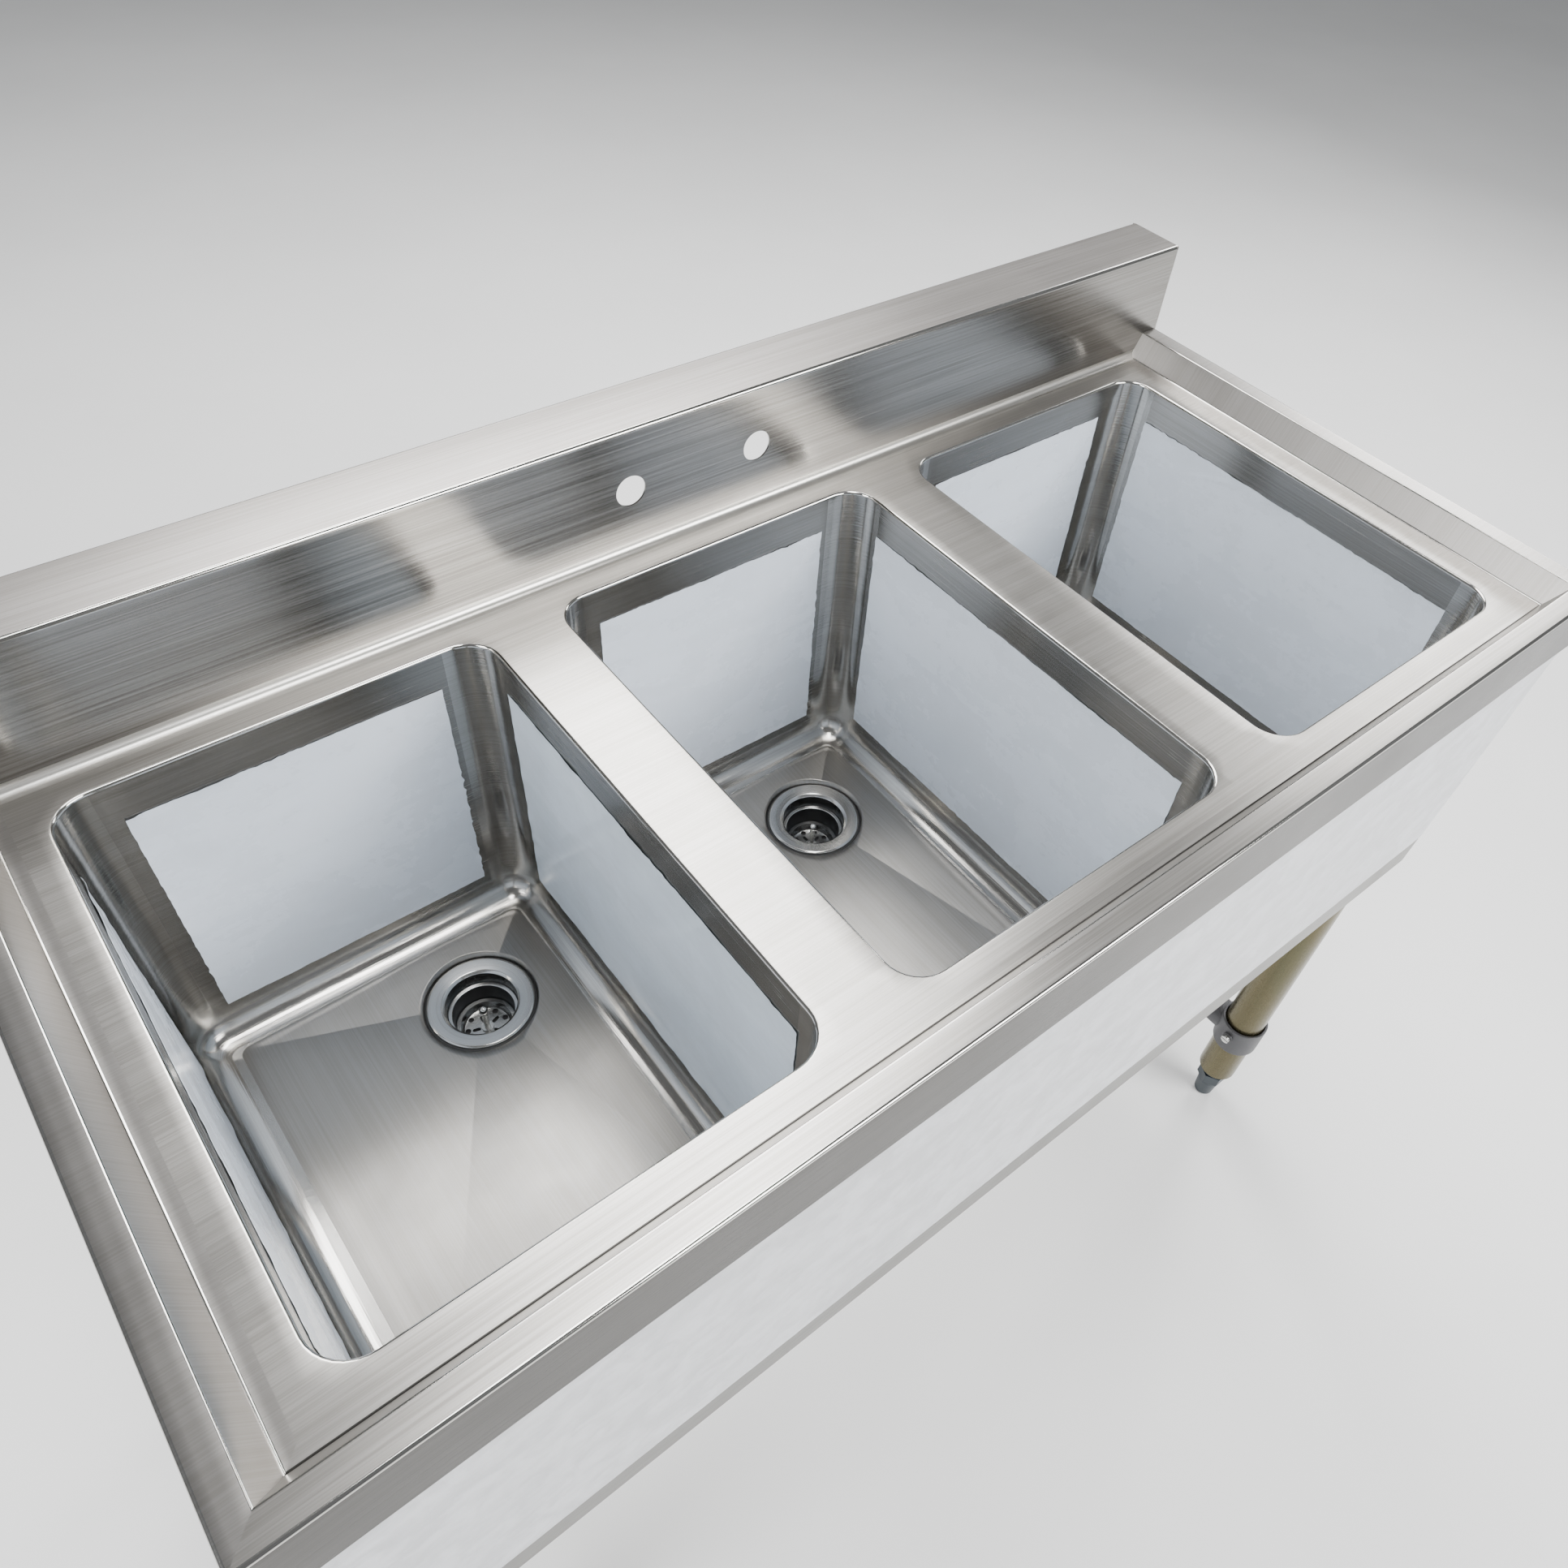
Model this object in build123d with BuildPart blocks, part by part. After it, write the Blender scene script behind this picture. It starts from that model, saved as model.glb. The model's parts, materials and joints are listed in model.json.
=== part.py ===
from build123d import *
import os

# Three compartment underbar sink: pressed deck with a raised edge on three sides
# and a backsplash with a top ledge, three welded bowls, a front apron, and four
# tube legs with adjustable feet. Millimetres, +X to the right, +Y to the back,
# +Z up. The origin is on the floor, under the middle of the sink.

INCH = 25.4

# ---- driving dimensions: bowls and deck ----
sheet = 1.2                          # stainless sheet thickness
bowl_width = 10 * INCH               # left to right, inside
bowl_length = 14 * INCH              # front to back, inside
bowl_depth = 10 * INCH               # below the deck
divider = 2 * INCH                   # deck strip between two bowls
bowl_corner = 22.0                   # vertical corner radius, inside
bowl_cove = 18.0                     # radius between walls and floor, inside
lip_drop = 6.0                       # turned-down edge of each deck opening
deck_height = 747.0                  # flat deck above the floor
front_strip = 21.8                   # flat deck in front of the bowls
side_strip = 24.6                    # flat deck beside the outer bowls
rear_strip = 24.2                    # flat deck behind the bowls
edge_run = 10.2                      # slope of the raised edge, measured level
edge_rise = 19.6                     # height of the raised edge over the deck
edge_flat = 16.0                     # flat top of the raised edge
edge_drop = 52.4                     # turned-down face below that flat top
edge_root = 8.0                      # strip of deck folded with the raised edge
bend = 2.4                           # outside radius of the folds
splash_height = 91.0                 # backsplash above the deck
splash_cove = 6.0                    # radius between deck and backsplash
ledge_depth = 2 * INCH               # flat top of the backsplash
ledge_drop = 25.0                    # turned-down rear flange of that ledge
faucet_spacing = 4 * INCH
faucet_hole_r = 11.1
faucet_height = 46.0                 # hole centres above the deck

# ---- driving dimensions: apron, rails and legs ----
apron_bottom = 257.0                 # below the deck
apron_lap = 14.0                     # overlap behind the turned-down face
apron_rake = 39.0                    # how far each end leans in at the bottom
apron_return = 15.0                  # turned-back bottom edge
rail_width = 42.0
rail_depth = 25.0
rail_wall = 2.0
leg_x = 455.0                        # leg centres, left and right of the middle
leg_front_gap = 4.0                  # leg centre in front of the bowls' front
leg_r = 20.65                        # 1 5/8 inch tube
leg_wall = 1.5
leg_bottom = 55.0                    # open lower end above the floor
plate_thick = 4.0
plate_length = 78.0
socket_r = 23.3
socket_drop = 48.0
bracket_bolt_pitch = 60.0
collar_top = 154.0
collar_height = 38.0
collar_r = 24.6
collar_bore = 21.6
brace_r = 12.7
brace_wall = 1.2
brace_height = 134.0
stub_r = 16.2
stub_length = 36.0
insert_base = 86.0
insert_height = 24.0
foot_r = 14.6
foot_top = 70.0
stem_r = 8.0
stem_top = 132.0

# ---- driving dimensions: drains ----
drain_shift_x = 47.0                 # right of the bowl's middle
drain_to_back = 3 * INCH             # in front of the bowl's back wall
recess_r = 42.0
recess_depth = 2.0
flange_r = 1.5 * INCH
flange_thick = 1.8
cup_r = 28.0
cup_bore = 25.4
cup_depth = 42.0
shoulder_r = 22.0                      # the cup narrows here, where the strainer drops in
shoulder_drop = 13.7
tail_r = 24.13                       # 1 1/2 inch pipe thread
tail_bore = 20.0
tail_length = 30.0
gasket_thick = 1.6
nut_height = 9.0
basket_r = 21.4
basket_drop = 30.0                     # strainer rim below the flange
basket_depth = 6.0
basket_sheet = 0.9
knob_r = 3.2
knob_drop = 12.5                       # middle of the ball knob below the flange
film = 0.2                           # protective film on the walls and the apron

# ---- worked out from them ----
bowl_pitch = bowl_width + divider
bowl_x = {"left": -bowl_pitch, "middle": 0.0, "right": bowl_pitch}
half_flat = bowl_pitch + bowl_width / 2 + side_strip
half_width = half_flat + edge_run + edge_flat
front_edge = front_strip + edge_run + edge_flat
total_depth = front_edge + bowl_length + rear_strip + ledge_depth
y_front = -total_depth / 2
y_back = total_depth / 2
bowl_front = y_front + front_edge
bowl_back = bowl_front + bowl_length
bowl_mid = (bowl_front + bowl_back) / 2
splash_y = bowl_back + rear_strip
crease_y = bowl_front - front_strip
deck_under = deck_height - sheet
bowl_floor = deck_height - bowl_depth
drain_y = bowl_back - drain_to_back
recess_floor = bowl_floor - recess_depth
leg_y = {"front": bowl_front - leg_front_gap, "rear": bowl_back + leg_front_gap}
rail_stop = leg_y["rear"] + plate_length / 2 + 1
side_sign = {"left": -1, "right": 1}
rail_bottom = deck_under - rail_depth
leg_top = rail_bottom - plate_thick

os.makedirs("parts", exist_ok=True)


def save(part, name):
    """Label a finished piece and write it."""
    part.label = name
    export_step(part, f"parts/{name}.step")


# ---------------------------------------------------------------- the pressed top
def make_top():
    edge_start = Plane(origin=(-half_flat, splash_y, deck_height), x_dir=(-1, 0, 0), z_dir=(0, 1, 0))
    with BuildPart() as top:
        # flat deck between the creases and the backsplash
        deck_mid_y = (crease_y + splash_y) / 2
        with BuildSketch(Plane.XY.offset(deck_under)):
            with Locations((0, deck_mid_y)):
                Rectangle(2 * half_flat, splash_y - crease_y)
        extrude(amount=sheet)
        # raised edge, mitred at the two front corners
        with BuildLine():
            Polyline(
                (-half_flat, splash_y, deck_height),
                (-half_flat, crease_y, deck_height),
                (half_flat, crease_y, deck_height),
                (half_flat, splash_y, deck_height),
            )
        with BuildSketch(edge_start):
            with BuildLine():
                FilletPolyline(
                    (-edge_root, 0),
                    (0, 0),
                    (edge_run, edge_rise),
                    (edge_run + edge_flat, edge_rise),
                    (edge_run + edge_flat, edge_rise - edge_drop),
                    radius=bend,
                )
                offset(amount=sheet, side=Side.RIGHT)
            make_face()
        sweep(transition=Transition.RIGHT)
        # backsplash, its ledge and the ledge's rear flange
        with BuildSketch(Plane.YZ.offset(-half_width)):
            with BuildLine():
                FilletPolyline(
                    (splash_y - splash_cove - 2, deck_height),
                    (splash_y, deck_height),
                    (splash_y, deck_height + splash_height),
                    (y_back, deck_height + splash_height),
                    (y_back, deck_height + splash_height - ledge_drop),
                    radius=(splash_cove, bend, bend),
                )
                offset(amount=sheet, side=Side.RIGHT)
            make_face()
        extrude(amount=2 * half_width)
        # end plates that close the ledge and carry the side edges to the back
        for end in (-half_width, half_width - sheet):
            with BuildSketch(Plane.YZ.offset(end)):
                with BuildLine():
                    Polyline(
                        (splash_y - bend, deck_height + edge_rise - edge_drop),
                        (y_back, deck_height + edge_rise - edge_drop),
                        (y_back, deck_height + splash_height - bend),
                        (splash_y + bend, deck_height + splash_height - bend),
                        (splash_y, deck_height + edge_rise),
                        (splash_y - bend, deck_height + edge_rise - bend),
                        close=True,
                    )
                make_face()
            extrude(amount=sheet)
        # openings, each with a turned-down lip
        with BuildSketch(Plane.XY.offset(deck_height - lip_drop)):
            with Locations(*[(x, bowl_mid) for x in bowl_x.values()]):
                RectangleRounded(bowl_width + 2 * sheet, bowl_length + 2 * sheet, bowl_corner + sheet)
        extrude(amount=lip_drop)
        with BuildSketch(Plane.XY.offset(deck_height - lip_drop)):
            with Locations(*[(x, bowl_mid) for x in bowl_x.values()]):
                RectangleRounded(bowl_width, bowl_length, bowl_corner)
        extrude(amount=lip_drop, mode=Mode.SUBTRACT)
        openings = top.edges().filter_by_position(Axis.Z, deck_height - 0.01, deck_height + 0.01)
        rims = openings.filter_by_position(Axis.Y, bowl_front - 0.1, bowl_back + 0.1)
        fillet(rims.filter_by_position(Axis.X, -half_flat + 1, half_flat - 1), radius=1.0)
        # faucet holes
        hole_plane = Plane(
            origin=(0, splash_y + sheet + 1, deck_height + faucet_height), x_dir=(1, 0, 0), z_dir=(0, -1, 0)
        )
        with Locations(hole_plane):
            with GridLocations(faucet_spacing, 1, 2, 1):
                Hole(faucet_hole_r, depth=2 * sheet + 2)
    save(top.part, "sink_top")


# ---------------------------------------------------------------- bowls and their film
def make_bowl(side):
    x = bowl_x[side]
    rim = deck_height - lip_drop
    with BuildPart() as bowl:
        with BuildSketch(Plane.XY.offset(bowl_floor - sheet)):
            with Locations((x, bowl_mid)):
                RectangleRounded(bowl_width + 2 * sheet, bowl_length + 2 * sheet, bowl_corner + sheet)
        extrude(amount=rim - bowl_floor + sheet)
        fillet(bowl.faces().sort_by(Axis.Z)[0].edges(), radius=bowl_cove + sheet)
        with BuildSketch(Plane.XY.offset(recess_floor - sheet)):
            with Locations((x + drain_shift_x, drain_y)):
                Circle(recess_r + sheet)
        extrude(amount=recess_depth)
    with BuildPart() as hollow:
        with BuildSketch(Plane.XY.offset(bowl_floor)):
            with Locations((x, bowl_mid)):
                RectangleRounded(bowl_width, bowl_length, bowl_corner)
        extrude(amount=bowl_depth)
        fillet(hollow.faces().sort_by(Axis.Z)[0].edges(), radius=bowl_cove)
        with BuildSketch(Plane.XY.offset(recess_floor)):
            with Locations((x + drain_shift_x, drain_y)):
                Circle(recess_r)
        extrude(amount=recess_depth)
        with BuildSketch(Plane.XY.offset(recess_floor - 2 * sheet)):
            with Locations((x + drain_shift_x, drain_y)):
                Circle(cup_r + 1.0)
        extrude(amount=3 * sheet)
    with BuildPart() as shell:
        add(bowl.part)
        add(hollow.part, mode=Mode.SUBTRACT)
    save(shell.part, f"bowl_{side}")


def make_bowl_film(side):
    """Four thin sheets, one on each flat wall, clear of the corners and the cove."""
    x = bowl_x[side]
    inset = bowl_corner + 3
    low = bowl_floor + bowl_cove + 8
    high = deck_height - 28
    with BuildPart() as sheets:
        with BuildSketch(Plane.XY.offset(low)):
            for end in (-1, 1):
                with Locations((x, bowl_mid + end * (bowl_length - film) / 2)):
                    Rectangle(bowl_width - 2 * inset, film)
                with Locations((x + end * (bowl_width - film) / 2, bowl_mid)):
                    Rectangle(film, bowl_length - 2 * inset)
        extrude(amount=high - low)
    save(sheets.part, f"bowl_film_{side}")


# ---------------------------------------------------------------- front apron and its film
def apron_half(z_below):
    """Half width of the apron at a depth below the deck: the ends are raked."""
    top_half = half_width - 2 * sheet - 4
    return top_half - apron_rake * max(z_below, 0) / apron_bottom


def apron_outline(above, below):
    """Outline of the raked panel between two depths below the deck."""
    return [
        (-apron_half(below), deck_height - below),
        (apron_half(below), deck_height - below),
        (apron_half(above), deck_height - above),
        (-apron_half(above), deck_height - above),
    ]


def make_apron():
    face_y = y_front + sheet
    top_line = edge_drop - edge_rise - apron_lap
    panel_plane = Plane(origin=(0, face_y + sheet, 0), x_dir=(1, 0, 0), z_dir=(0, -1, 0))
    with BuildPart() as apron:
        with BuildSketch(panel_plane):
            with BuildLine():
                Polyline(*apron_outline(top_line, apron_bottom), close=True)
            make_face()
        extrude(amount=sheet)
        # turned-back bottom edge with a small hem
        width = 2 * apron_half(apron_bottom)
        with BuildSketch(Plane.XY.offset(deck_height - apron_bottom)):
            with Locations((0, face_y + apron_return / 2)):
                Rectangle(width, apron_return)
        extrude(amount=sheet)
        with BuildSketch(Plane.XY.offset(deck_height - apron_bottom)):
            with Locations((0, face_y + apron_return - sheet / 2)):
                Rectangle(width, sheet)
        extrude(amount=9)
        fillet(
            apron.edges().filter_by(Axis.X).group_by(Axis.Z)[0].sort_by(Axis.Y)[0],
            radius=0.9,
        )
    save(apron.part, "front_apron")


def make_apron_film():
    face_y = y_front + sheet
    film_plane = Plane(origin=(0, face_y, 0), x_dir=(1, 0, 0), z_dir=(0, -1, 0))
    above = edge_drop - edge_rise + 1
    below = apron_bottom - 30
    outline = apron_outline(above, below)
    with BuildPart() as sheet_film:
        with BuildSketch(film_plane):
            with BuildLine():
                Polyline(*outline, close=True)
            make_face()
        extrude(amount=film)
    save(sheet_film.part, "apron_film")


# ---------------------------------------------------------------- rails, brackets and legs
def make_rail(side):
    x = side_sign[side] * leg_x
    start = y_front + 2 * sheet + 2
    with BuildPart() as rail:
        with BuildSketch(Plane.XZ.offset(-rail_stop)):
            with Locations((x, deck_under - rail_depth / 2)):
                RectangleRounded(rail_width, rail_depth, 2.5)
                RectangleRounded(rail_width - 2 * rail_wall, rail_depth - 2 * rail_wall, 1, mode=Mode.SUBTRACT)
        extrude(amount=rail_stop - start)
        # bolt holes in the lower wall
        for y in leg_y.values():
            with BuildSketch(Plane.XY.offset(rail_bottom - 1)):
                with Locations((x, y)):
                    with GridLocations(1, bracket_bolt_pitch, 1, 2):
                        Circle(3.3)
            extrude(amount=rail_wall + 2, mode=Mode.SUBTRACT)
    save(rail.part, f"end_rail_{side}")


def make_bracket(name, x, y, inward):
    """Square plate with a short sleeve for the leg, and a hole for its set screw."""
    with BuildPart() as bracket:
        with BuildSketch(Plane.XY.offset(leg_top)):
            with Locations((x, y)):
                RectangleRounded(rail_width, plate_length, 4)
                with GridLocations(1, bracket_bolt_pitch, 1, 2):
                    Circle(3.3, mode=Mode.SUBTRACT)
        extrude(amount=plate_thick)
        with BuildSketch(Plane.XY.offset(leg_top - socket_drop)):
            with Locations((x, y)):
                Circle(socket_r)
                Circle(leg_r + 0.1, mode=Mode.SUBTRACT)
        extrude(amount=socket_drop)
        screw_plane = Plane(
            origin=(x, y, leg_top - socket_drop / 2), x_dir=(0, 1, 0), z_dir=(inward, 0, 0)
        )
        with BuildSketch(screw_plane):
            Circle(3.0)
        extrude(amount=socket_r + 1, mode=Mode.SUBTRACT)
    save(bracket.part, f"leg_bracket_{name}")


def make_leg(name, x, y):
    with BuildPart() as leg:
        with BuildSketch(Plane.XY.offset(leg_bottom)):
            with Locations((x, y)):
                Circle(leg_r)
                Circle(leg_r - leg_wall, mode=Mode.SUBTRACT)
        extrude(amount=leg_top - leg_bottom)
        chamfer(leg.faces().sort_by(Axis.Z)[0].edges(), length=0.4)
    save(leg.part, f"leg_{name}")


def make_collar(name, x, y, toward, inward):
    """Cast collar round the leg with a level stub that holds the brace."""
    with BuildPart() as collar:
        with BuildSketch(Plane.XY.offset(collar_top - collar_height)):
            with Locations((x, y)):
                Circle(collar_r)
        extrude(amount=collar_height)
        fillet(collar.faces().sort_by(Axis.Z)[0].edges(), radius=1.2)
        stub_plane = Plane(origin=(x, y, brace_height), x_dir=(1, 0, 0), z_dir=(0, toward, 0))
        with BuildSketch(stub_plane):
            Circle(stub_r)
        extrude(amount=collar_r + stub_length - 6)
        with BuildSketch(stub_plane.offset(collar_r)):
            Circle(brace_r + 0.1)
        extrude(amount=stub_length, mode=Mode.SUBTRACT)
        with BuildSketch(Plane.XY.offset(collar_top - collar_height - 1)):
            with Locations((x, y)):
                Circle(collar_bore)
        extrude(amount=collar_height + 2, mode=Mode.SUBTRACT)
        chamfer(collar.faces().sort_by(Axis.Z)[-1].edges(), length=0.7)
        # tapped boss for the set screw
        boss_plane = Plane(origin=(x, y, collar_top - 14), x_dir=(0, 1, 0), z_dir=(inward, 0, 0))
        with BuildSketch(boss_plane.offset(collar_bore + 1.5)):
            Circle(6.0)
        extrude(amount=3.5)
        with BuildSketch(boss_plane.offset(collar_bore - 4)):
            Circle(3.0)
        extrude(amount=12, mode=Mode.SUBTRACT)
    save(collar.part, f"brace_collar_{name}")


def make_brace(side):
    x = side_sign[side] * leg_x
    start = leg_y["front"] + collar_r + 1
    stop = leg_y["rear"] - collar_r - 1
    with BuildPart() as brace:
        with BuildSketch(Plane.XZ.offset(-stop)):
            with Locations((x, brace_height)):
                Circle(brace_r)
                Circle(brace_r - brace_wall, mode=Mode.SUBTRACT)
        extrude(amount=stop - start)
    save(brace.part, f"side_brace_{side}")


def make_insert(name, x, y):
    """Threaded plug pressed into the lower end of the leg."""
    with BuildPart() as insert:
        with BuildSketch(Plane.XY.offset(insert_base)):
            with Locations((x, y)):
                Circle(leg_r - leg_wall)
        extrude(amount=insert_height)
        chamfer(insert.faces().sort_by(Axis.Z)[-1].edges(), length=1.0)
        with BuildSketch(Plane.XY.offset(insert_base - 1)):
            with Locations((x, y)):
                Circle(stem_r + 0.05)
        extrude(amount=insert_height + 2, mode=Mode.SUBTRACT)
    save(insert.part, f"foot_insert_{name}")


def make_foot(name, x, y):
    """Bullet foot: threaded stem, round body, wrench flats and a tapered tip."""
    hex_base = 30.0
    hex_height = 14.0
    tip_r = 10.5
    with BuildPart() as foot:
        with BuildSketch(Plane(origin=(x, y, 0), x_dir=(1, 0, 0), z_dir=(0, -1, 0))):
            with BuildLine():
                Polyline(
                    (0, 0),
                    (tip_r - 1.5, 0),
                    (tip_r, 1.5),
                    (foot_r - 2.2, hex_base - 6),
                    (foot_r - 2.2, hex_base + hex_height),
                    (foot_r, hex_base + hex_height + 2),
                    (foot_r, foot_top - 1.5),
                    (foot_r - 1.5, foot_top),
                    (stem_r, foot_top),
                    (stem_r, stem_top - 1.5),
                    (stem_r - 1.5, stem_top),
                    (0, stem_top),
                    close=True,
                )
            make_face()
        revolve(axis=Axis((x, y, 0), (0, 0, 1)))
        with BuildSketch(Plane.XY.offset(hex_base)):
            with Locations((x, y)):
                RegularPolygon(radius=foot_r - 0.6, side_count=6, major_radius=False)
        extrude(amount=hex_height)
    save(foot.part, f"foot_{name}")


def make_bracket_bolts():
    """Hexagon head bolts that hold the brackets to the rails, with their nuts inside the rails."""
    with BuildPart() as bolts:
        for side in side_sign.values():
            for y in leg_y.values():
                for step in (-1, 1):
                    spot = (side * leg_x, y + step * bracket_bolt_pitch / 2)
                    with BuildSketch(Plane.XY.offset(leg_top - 4.5)):
                        with Locations(spot):
                            RegularPolygon(radius=5.0, side_count=6, major_radius=False)
                    extrude(amount=4.5)
                    with BuildSketch(Plane.XY.offset(leg_top)):
                        with Locations(spot):
                            Circle(3.0)
                    extrude(amount=plate_thick + rail_wall + 7)
                    with BuildSketch(Plane.XY.offset(rail_bottom + rail_wall)):
                        with Locations(spot):
                            RegularPolygon(radius=5.0, side_count=6, major_radius=False)
                    extrude(amount=5)
    save(bolts.part, "bracket_bolts")


def make_set_screws(name, z, inner, head_r, outer, corners):
    """One screw for each corner, driven level towards the leg from the bowl side."""
    with BuildPart() as screws:
        for x, y, inward in corners:
            axis_plane = Plane(origin=(x, y, z), x_dir=(0, 1, 0), z_dir=(inward, 0, 0))
            with BuildSketch(axis_plane.offset(inner)):
                Circle(2.9)
            extrude(amount=outer - inner)
            with BuildSketch(axis_plane.offset(outer)):
                Circle(head_r)
            extrude(amount=3.6)
    with BuildPart() as finished:
        add(screws.part)
        for x, y, inward in corners:
            slot_plane = Plane(origin=(x, y, z), x_dir=(0, 1, 0), z_dir=(inward, 0, 0)).offset(outer + 2.2)
            with BuildSketch(slot_plane):
                Rectangle(2 * head_r, 1.1)
            extrude(amount=3, mode=Mode.SUBTRACT)
    save(finished.part, name)


# ---------------------------------------------------------------- drains
def drain_plane(side):
    """Upright half plane through the drain's middle, its height measured from the bowl floor."""
    origin = (bowl_x[side] + drain_shift_x, drain_y, bowl_floor)
    return Plane(origin=origin, x_dir=(1, 0, 0), z_dir=(0, -1, 0))


def turned(side, points):
    """A turned piece: an outline of (radius, height) points swept round the drain's middle."""
    plane = drain_plane(side)
    with BuildPart() as piece:
        with BuildSketch(plane):
            with BuildLine():
                Polyline(*points, close=True)
            make_face()
        revolve(axis=Axis(plane.origin, (0, 0, 1)))
    return piece


def make_drain(side):
    flange_under = gasket_thick - recess_depth
    flange_top = flange_under + flange_thick
    cup_floor = flange_top - cup_depth
    tail_end = cup_floor - tail_length
    body = turned(
        side,
        [
            (cup_bore, flange_top - 1.2),
            (cup_bore + 1.4, flange_top),
            (flange_r - 2.5, flange_top),
            (flange_r, flange_under + 0.5),
            (flange_r, flange_under),
            (cup_r, flange_under),
            (cup_r, cup_floor - 2.5),
            (tail_r, cup_floor - 4),
            (tail_r, tail_end + 1),
            (tail_r - 1, tail_end),
            (tail_bore, tail_end),
            (tail_bore, cup_floor - 1),
            (tail_bore + 1, cup_floor),
            (shoulder_r, cup_floor),
            (shoulder_r, flange_top - shoulder_drop - 0.6),
            (shoulder_r + 0.6, flange_top - shoulder_drop),
            (cup_bore, flange_top - shoulder_drop),
        ],
    )
    save(body.part, f"drain_body_{side}")

    gasket = turned(
        side,
        [
            (cup_r + 0.05, -recess_depth),
            (flange_r + 1.2, -recess_depth),
            (flange_r + 1.2, flange_under),
            (cup_r + 0.05, flange_under),
        ],
    )
    save(gasket.part, f"drain_gasket_{side}")

    washer_top = -recess_depth - sheet
    washer = turned(
        side,
        [
            (cup_r + 0.4, washer_top - 2),
            (cup_r + 9, washer_top - 2),
            (cup_r + 9, washer_top),
            (cup_r + 0.4, washer_top),
        ],
    )
    save(washer.part, f"drain_washer_{side}")

    nut_top = washer_top - 2
    x = bowl_x[side] + drain_shift_x
    with BuildPart() as nut:
        with BuildSketch(Plane.XY.offset(bowl_floor + nut_top - nut_height)):
            with Locations((x, drain_y)):
                Circle(cup_r + 6)
                Circle(cup_r, mode=Mode.SUBTRACT)
        extrude(amount=nut_height)
        # six lugs round the nut for a spanner
        with BuildSketch(Plane.XY.offset(bowl_floor + nut_top - nut_height)):
            with Locations((x, drain_y)):
                with PolarLocations(cup_r + 7, 6):
                    Rectangle(6, 9)
                Circle(cup_r + 4, mode=Mode.SUBTRACT)
        extrude(amount=nut_height - 2)
    save(nut.part, f"drain_nut_{side}")


def make_basket(side):
    """Lift-out strainer: perforated basket, rubber stopper under it, post with a ball knob."""
    flange_top = gasket_thick - recess_depth + flange_thick
    rim_top = flange_top - basket_drop
    base_top = rim_top - basket_depth
    base = base_top - basket_sheet
    knob_z = flange_top - knob_drop
    inner = basket_r - 3.4
    x = bowl_x[side] + drain_shift_x
    cup = turned(
        side,
        [
            (2.2, base),
            (inner - 1.0, base),
            (inner + 0.4, base + 1.8),
            (inner + 1.2, rim_top - basket_sheet),
            (basket_r, rim_top - basket_sheet),
            (basket_r, rim_top),
            (inner + 0.5, rim_top),
            (inner - 0.4, base_top + 1.6),
            (inner - 1.4, base_top),
            (2.2, base_top),
        ],
    )
    with BuildPart() as basket:
        add(cup.part)
        # a ring of round drain holes and five long petals in the base
        with BuildSketch(Plane.XY.offset(bowl_floor + base - 1)):
            with Locations((x, drain_y)):
                with PolarLocations(14.2, 9):
                    Circle(2.1)
                with PolarLocations(8.0, 5, start_angle=90):
                    SlotOverall(6.0, 2.6)
        extrude(amount=basket_sheet + 2, mode=Mode.SUBTRACT)
    save(basket.part, f"basket_{side}")

    stopper = turned(
        side,
        [
            (2.2, base - 4.6),
            (shoulder_r - 2.6, base - 4.6),
            (shoulder_r - 1.4, base - 3.4),
            (shoulder_r - 3.4, base - 1.4),
            (5.0, base - 1.4),
            (5.0, base),
            (2.2, base),
        ],
    )
    save(stopper.part, f"basket_stopper_{side}")

    with BuildPart() as post:
        with BuildSketch(Plane.XY.offset(bowl_floor + base - 6.6)):
            with Locations((x, drain_y)):
                Circle(2.2)
        extrude(amount=knob_z - base + 6.6)
        with BuildSketch(Plane.XY.offset(bowl_floor + base - 6.6)):
            with Locations((x, drain_y)):
                Circle(4.6)
        extrude(amount=2.0)
        with BuildSketch(Plane.XY.offset(bowl_floor + base_top)):
            with Locations((x, drain_y)):
                Circle(4.4)
        extrude(amount=1.8)
        with Locations((x, drain_y, bowl_floor + knob_z)):
            Sphere(knob_r)
    save(post.part, f"basket_post_{side}")


make_top()
make_apron()
make_apron_film()
for bowl_side in bowl_x:
    make_bowl(bowl_side)
    make_bowl_film(bowl_side)
    make_drain(bowl_side)
    make_basket(bowl_side)

corner_list = []
for hand, sign in side_sign.items():
    make_rail(hand)
    make_brace(hand)
    for row, row_y in leg_y.items():
        corner = f"{row}_{hand}"
        corner_x = sign * leg_x
        inward = -sign
        toward = 1 if row == "front" else -1
        make_bracket(corner, corner_x, row_y, inward)
        make_leg(corner, corner_x, row_y)
        make_collar(corner, corner_x, row_y, toward, inward)
        make_insert(corner, corner_x, row_y)
        make_foot(corner, corner_x, row_y)
        corner_list.append((corner_x, row_y, inward))
make_bracket_bolts()
make_set_screws("bracket_set_screws", leg_top - socket_drop / 2, leg_r, 5.0, socket_r + 0.6, corner_list)
make_set_screws("collar_set_screws", collar_top - 14, leg_r, 4.6, collar_bore + 5.0, corner_list)
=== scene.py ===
import json
import math

import bpy
import numpy as np
from mathutils import Euler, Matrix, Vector, noise
from mathutils.geometry import delaunay_2d_cdt


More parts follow.
